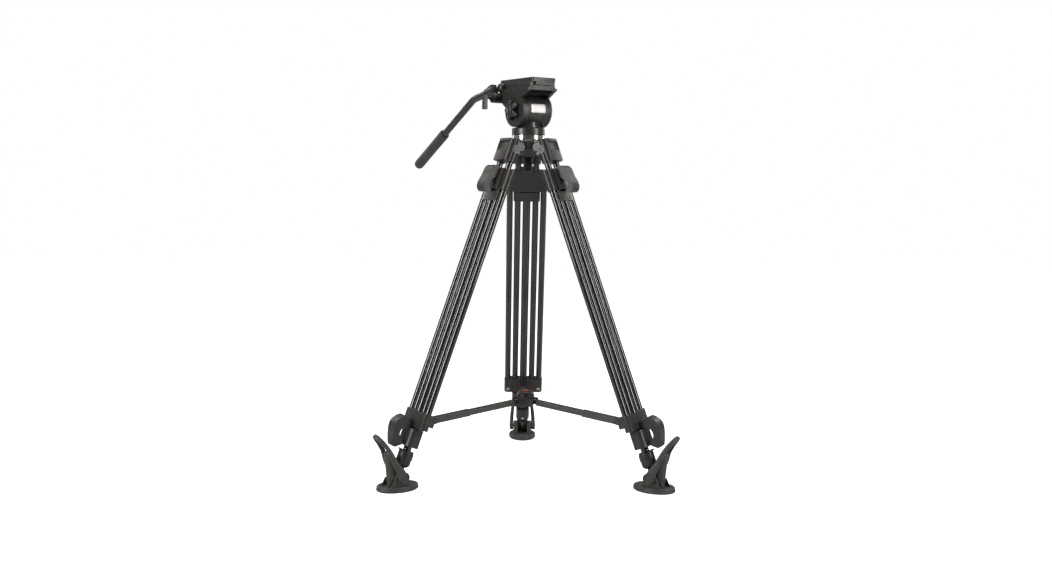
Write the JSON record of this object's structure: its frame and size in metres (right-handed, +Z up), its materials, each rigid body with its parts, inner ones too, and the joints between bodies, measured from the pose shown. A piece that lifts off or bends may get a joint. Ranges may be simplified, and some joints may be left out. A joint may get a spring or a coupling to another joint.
{
  "type": "video tripod",
  "caption": "Video tripod with twin-tube carbon legs, a mid-level spreader, swivel rubber feet and a fluid head with a pan handle.",
  "frame": {"origin": "middle of the bounding box at floor level", "axes": "+Z up, +Y along the rear leg, +X to the right leg's side seen from the front"},
  "size_m": [0.75, 0.6496, 0.996],
  "materials": {
    "casting": "satin black powder coat",
    "carbon_tube": "glossy carbon weave",
    "lever_plastic": "satin",
    "foot_rubber": "matte",
    "spreader_metal": "satin black",
    "knob_plastic": "satin",
    "bright_ring": "turned, bright",
    "steel": "bright",
    "foam_grip": "fine foam"
  },
  "bodies": {
    "crown": {"crown": "casting", "hinge_pins": "steel"},
    "leg_rear": {"shoulder_rear": "casting", "inner_tubes_rear": "carbon_tube"},
    "stage2_rear": {"upper_clamp_rear": "casting", "outer_tubes_rear": "carbon_tube", "lower_clamp_rear": "casting"},
    "upper_lever_rear": {"upper_lever_rear": "lever_plastic"},
    "lower_lever_rear": {"lower_lever_rear": "lever_plastic"},
    "stage3_rear": {"centre_tube_rear": "carbon_tube", "leg_tip_rear": "casting"},
    "foot_rear": {"foot_rear": "foot_rubber"},
    "strap_rear": {"strap_rear": "foot_rubber"},
    "arm_outer_rear": {"arm_outer_rear": "spreader_metal"},
    "arm_mid_rear": {"arm_mid_rear": "spreader_metal"},
    "arm_inner_rear": {"arm_inner_rear": "spreader_metal"},
    "leg_left": {"shoulder_left": "casting", "inner_tubes_left": "carbon_tube"},
    "stage2_left": {"upper_clamp_left": "casting", "outer_tubes_left": "carbon_tube", "lower_clamp_left": "casting"},
    "upper_lever_left": {"upper_lever_left": "lever_plastic"},
    "lower_lever_left": {"lower_lever_left": "lever_plastic"},
    "stage3_left": {"centre_tube_left": "carbon_tube", "leg_tip_left": "casting"},
    "foot_left": {"foot_left": "foot_rubber"},
    "strap_left": {"strap_left": "foot_rubber"},
    "arm_outer_left": {"arm_outer_left": "spreader_metal"},
    "arm_mid_left": {"arm_mid_left": "spreader_metal"},
    "arm_inner_left": {"arm_inner_left": "spreader_metal"},
    "leg_right": {"shoulder_right": "casting", "inner_tubes_right": "carbon_tube"},
    "stage2_right": {"upper_clamp_right": "casting", "outer_tubes_right": "carbon_tube", "lower_clamp_right": "casting"},
    "upper_lever_right": {"upper_lever_right": "lever_plastic"},
    "lower_lever_right": {"lower_lever_right": "lever_plastic"},
    "stage3_right": {"centre_tube_right": "carbon_tube", "leg_tip_right": "casting"},
    "foot_right": {"foot_right": "foot_rubber"},
    "strap_right": {"strap_right": "foot_rubber"},
    "arm_outer_right": {"arm_outer_right": "spreader_metal"},
    "arm_mid_right": {"arm_mid_right": "spreader_metal"},
    "arm_inner_right": {"arm_inner_right": "spreader_metal"},
    "hub": {"spreader_hub": "knob_plastic"},
    "ball": {"half_ball": "bright_ring", "pan_base": "casting"},
    "level_knob": {"level_knob": "knob_plastic"},
    "pan_body": {"head_body": "casting"},
    "star_knob": {"star_knob": "knob_plastic"},
    "brake_knob": {"brake_knob": "knob_plastic"},
    "tilt": {"tilt_frame": "casting"},
    "plate": {"camera_plate": "casting"},
    "camera_screw": {"camera_screw": "steel"},
    "plate_knob": {"plate_knob": "knob_plastic"},
    "handle": {"handle_mount": "casting", "pan_bar": "casting", "handle_grip": "foam_grip"},
    "clamp_lever": {"clamp_lever": "knob_plastic"}
  },
  "joints": [
    {"name": "fold_rear", "type": "hinge", "parent": "crown", "child": "leg_rear", "pos_m": [0, -0.03977, 0.818], "axis": [1, 0, 0], "range_deg": [-18.5, 0]},
    {"name": "extend_rear", "type": "slide", "parent": "leg_rear", "child": "stage2_rear", "axis": [0, 0.3584, -0.9336], "range_m": [0, 0.4]},
    {"name": "tip_extend_rear", "type": "slide", "parent": "stage2_rear", "child": "stage3_rear", "axis": [0, 0.3584, -0.9336], "range_m": [0, 0.5]},
    {"name": "upper_lock_rear", "type": "hinge", "parent": "stage2_rear", "child": "upper_lever_rear", "pos_m": [0, 0.01002, 0.76642], "axis": [1, 0, 0], "range_deg": [0, 90]},
    {"name": "lower_lock_rear", "type": "hinge", "parent": "stage2_rear", "child": "lower_lever_rear", "pos_m": [0, 0.23966, 0.16261], "axis": [1, 0, 0], "range_deg": [0, 80]},
    {"name": "foot_swivel_rear", "type": "hinge", "parent": "stage3_rear", "child": "foot_rear", "pos_m": [0, 0.26054, 0.03566], "axis": [1, 0, 0], "range_deg": [-3, 12]},
    {"name": "strap_swing_rear", "type": "hinge", "parent": "foot_rear", "child": "strap_rear", "pos_m": [0, 0.26054, 0.03566], "axis": [-1, 0, 0], "range_deg": [0, 45]},
    {"name": "arm_pivot_rear", "type": "hinge", "parent": "stage2_rear", "child": "arm_outer_rear", "pos_m": [0, 0.16829, 0.15878], "axis": [1, 0, 0], "range_deg": [-57.3, 0]},
    {"name": "arm_slide_rear", "type": "slide", "parent": "arm_outer_rear", "child": "arm_mid_rear", "axis": [0, -0.9957, 0.0929], "range_m": [-0.1245, 0]},
    {"name": "arm_end_slide_rear", "type": "slide", "parent": "arm_mid_rear", "child": "arm_inner_rear", "axis": [0, -0.9957, 0.0929], "range_m": [0, 0.1445]},
    {"name": "fold_left", "type": "hinge", "parent": "crown", "child": "leg_left", "pos_m": [-0.04677, -0.12077, 0.818], "axis": [-0.5, 0.866, 0], "range_deg": [-18.5, 0]},
    {"name": "extend_left", "type": "slide", "parent": "leg_left", "child": "stage2_left", "axis": [-0.3104, -0.1792, -0.9336], "range_m": [0, 0.4]},
    {"name": "tip_extend_left", "type": "slide", "parent": "stage2_left", "child": "stage3_left", "axis": [-0.3104, -0.1792, -0.9336], "range_m": [0, 0.5]},
    {"name": "upper_lock_left", "type": "hinge", "parent": "stage2_left", "child": "upper_lever_left", "pos_m": [-0.08989, -0.14567, 0.76642], "axis": [-0.5, 0.866, 0], "range_deg": [0, 90]},
    {"name": "lower_lock_left", "type": "hinge", "parent": "stage2_left", "child": "lower_lever_left", "pos_m": [-0.28876, -0.26049, 0.16261], "axis": [-0.5, 0.866, 0], "range_deg": [0, 80]},
    {"name": "foot_swivel_left", "type": "hinge", "parent": "stage3_left", "child": "foot_left", "pos_m": [-0.30684, -0.27093, 0.03566], "axis": [-0.5, 0.866, 0], "range_deg": [-3, 12]},
    {"name": "strap_swing_left", "type": "hinge", "parent": "foot_left", "child": "strap_left", "pos_m": [-0.30684, -0.27093, 0.03566], "axis": [0.5, -0.866, 0], "range_deg": [0, 45]},
    {"name": "arm_pivot_left", "type": "hinge", "parent": "stage2_left", "child": "arm_outer_left", "pos_m": [-0.22695, -0.2248, 0.15878], "axis": [-0.5, 0.866, 0], "range_deg": [-57.3, 0]},
    {"name": "arm_slide_left", "type": "slide", "parent": "arm_outer_left", "child": "arm_mid_left", "axis": [0.8623, 0.4978, 0.0929], "range_m": [-0.1245, 0]},
    {"name": "arm_end_slide_left", "type": "slide", "parent": "arm_mid_left", "child": "arm_inner_left", "axis": [0.8623, 0.4978, 0.0929], "range_m": [0, 0.1445]},
    {"name": "fold_right", "type": "hinge", "parent": "crown", "child": "leg_right", "pos_m": [0.04677, -0.12077, 0.818], "axis": [-0.5, -0.866, 0], "range_deg": [-18.5, 0]},
    {"name": "extend_right", "type": "slide", "parent": "leg_right", "child": "stage2_right", "axis": [0.3104, -0.1792, -0.9336], "range_m": [0, 0.4]},
    {"name": "tip_extend_right", "type": "slide", "parent": "stage2_right", "child": "stage3_right", "axis": [0.3104, -0.1792, -0.9336], "range_m": [0, 0.5]},
    {"name": "upper_lock_right", "type": "hinge", "parent": "stage2_right", "child": "upper_lever_right", "pos_m": [0.08989, -0.14567, 0.76642], "axis": [-0.5, -0.866, 0], "range_deg": [0, 90]},
    {"name": "lower_lock_right", "type": "hinge", "parent": "stage2_right", "child": "lower_lever_right", "pos_m": [0.28876, -0.26049, 0.16261], "axis": [-0.5, -0.866, 0], "range_deg": [0, 80]},
    {"name": "foot_swivel_right", "type": "hinge", "parent": "stage3_right", "child": "foot_right", "pos_m": [0.30684, -0.27093, 0.03566], "axis": [-0.5, -0.866, 0], "range_deg": [-3, 12]},
    {"name": "strap_swing_right", "type": "hinge", "parent": "foot_right", "child": "strap_right", "pos_m": [0.30684, -0.27093, 0.03566], "axis": [0.5, 0.866, 0], "range_deg": [0, 45]},
    {"name": "arm_pivot_right", "type": "hinge", "parent": "stage2_right", "child": "arm_outer_right", "pos_m": [0.22695, -0.2248, 0.15878], "axis": [-0.5, -0.866, 0], "range_deg": [-57.3, 0]},
    {"name": "arm_slide_right", "type": "slide", "parent": "arm_outer_right", "child": "arm_mid_right", "axis": [-0.8623, 0.4978, 0.0929], "range_m": [-0.1245, 0]},
    {"name": "arm_end_slide_right", "type": "slide", "parent": "arm_mid_right", "child": "arm_inner_right", "axis": [-0.8623, 0.4978, 0.0929], "range_m": [0, 0.1445]},
    {"name": "hub_pivot", "type": "hinge", "parent": "arm_inner_rear", "child": "hub", "pos_m": [0, -0.06977, 0.181], "axis": [1, 0, 0], "range_deg": [0, 75.8]},
    {"name": "level_tilt", "type": "hinge", "parent": "crown", "child": "ball", "pos_m": [0, -0.09377, 0.843], "axis": [1, 0, 0], "range_deg": [-3, 3]},
    {"name": "level_knob_turn", "type": "hinge", "parent": "ball", "child": "level_knob", "pos_m": [0, -0.09377, 0.79], "axis": [0, 0, 1], "continuous": true},
    {"name": "pan", "type": "hinge", "parent": "ball", "child": "pan_body", "pos_m": [0, -0.09377, 0.872], "axis": [0, 0, 1], "continuous": true},
    {"name": "tilt", "type": "hinge", "parent": "pan_body", "child": "tilt", "pos_m": [0, -0.09377, 0.914], "axis": [0.832, 0.5548, 0], "range_deg": [-30, 75]},
    {"name": "tilt_drag_turn", "type": "hinge", "parent": "pan_body", "child": "star_knob", "pos_m": [-0.0416, -0.12151, 0.914], "axis": [0.832, 0.5548, 0], "continuous": true},
    {"name": "tilt_lock_turn", "type": "hinge", "parent": "pan_body", "child": "brake_knob", "pos_m": [0.03993, -0.06714, 0.914], "axis": [0.832, 0.5548, 0], "continuous": true},
    {"name": "plate_slide", "type": "slide", "parent": "tilt", "child": "plate", "axis": [-0.5548, 0.832, 0], "range_m": [-0.015, 0.015]},
    {"name": "camera_screw_turn", "type": "hinge", "parent": "plate", "child": "camera_screw", "pos_m": [0, -0.09377, 0.986], "axis": [0, 0, 1], "continuous": true},
    {"name": "plate_knob_turn", "type": "hinge", "parent": "tilt", "child": "plate_knob", "pos_m": [-0.07073, -0.06882, 0.972], "axis": [0.832, 0.5548, 0], "continuous": true},
    {"name": "handle_angle", "type": "hinge", "parent": "tilt", "child": "handle", "pos_m": [-0.07544, -0.07076, 0.946], "axis": [-0.832, -0.5548, 0], "range_deg": [0, 15]},
    {"name": "handle_clamp_turn", "type": "hinge", "parent": "tilt", "child": "clamp_lever", "pos_m": [-0.1004, -0.08741, 0.946], "axis": [0.832, 0.5548, 0], "range_deg": [-60, 60]}
  ],
  "couplings": [
    {"joint": "arm_pivot_rear", "follows": "fold_rear", "ratio": 3.091},
    {"joint": "arm_slide_rear", "follows": "fold_rear", "m_per_rad": 0.3843},
    {"joint": "arm_end_slide_rear", "follows": "extend_rear", "ratio": 0.36},
    {"joint": "fold_left", "follows": "fold_rear", "ratio": 1},
    {"joint": "extend_left", "follows": "extend_rear", "ratio": 1},
    {"joint": "arm_pivot_left", "follows": "fold_rear", "ratio": 3.091},
    {"joint": "arm_slide_left", "follows": "fold_rear", "m_per_rad": 0.3843},
    {"joint": "arm_end_slide_left", "follows": "extend_rear", "ratio": 0.36},
    {"joint": "fold_right", "follows": "fold_rear", "ratio": 1},
    {"joint": "extend_right", "follows": "extend_rear", "ratio": 1},
    {"joint": "arm_pivot_right", "follows": "fold_rear", "ratio": 3.091},
    {"joint": "arm_slide_right", "follows": "fold_rear", "m_per_rad": 0.3843},
    {"joint": "arm_end_slide_right", "follows": "extend_rear", "ratio": 0.36},
    {"joint": "hub_pivot", "follows": "fold_rear", "ratio": -4.091}
  ]
}
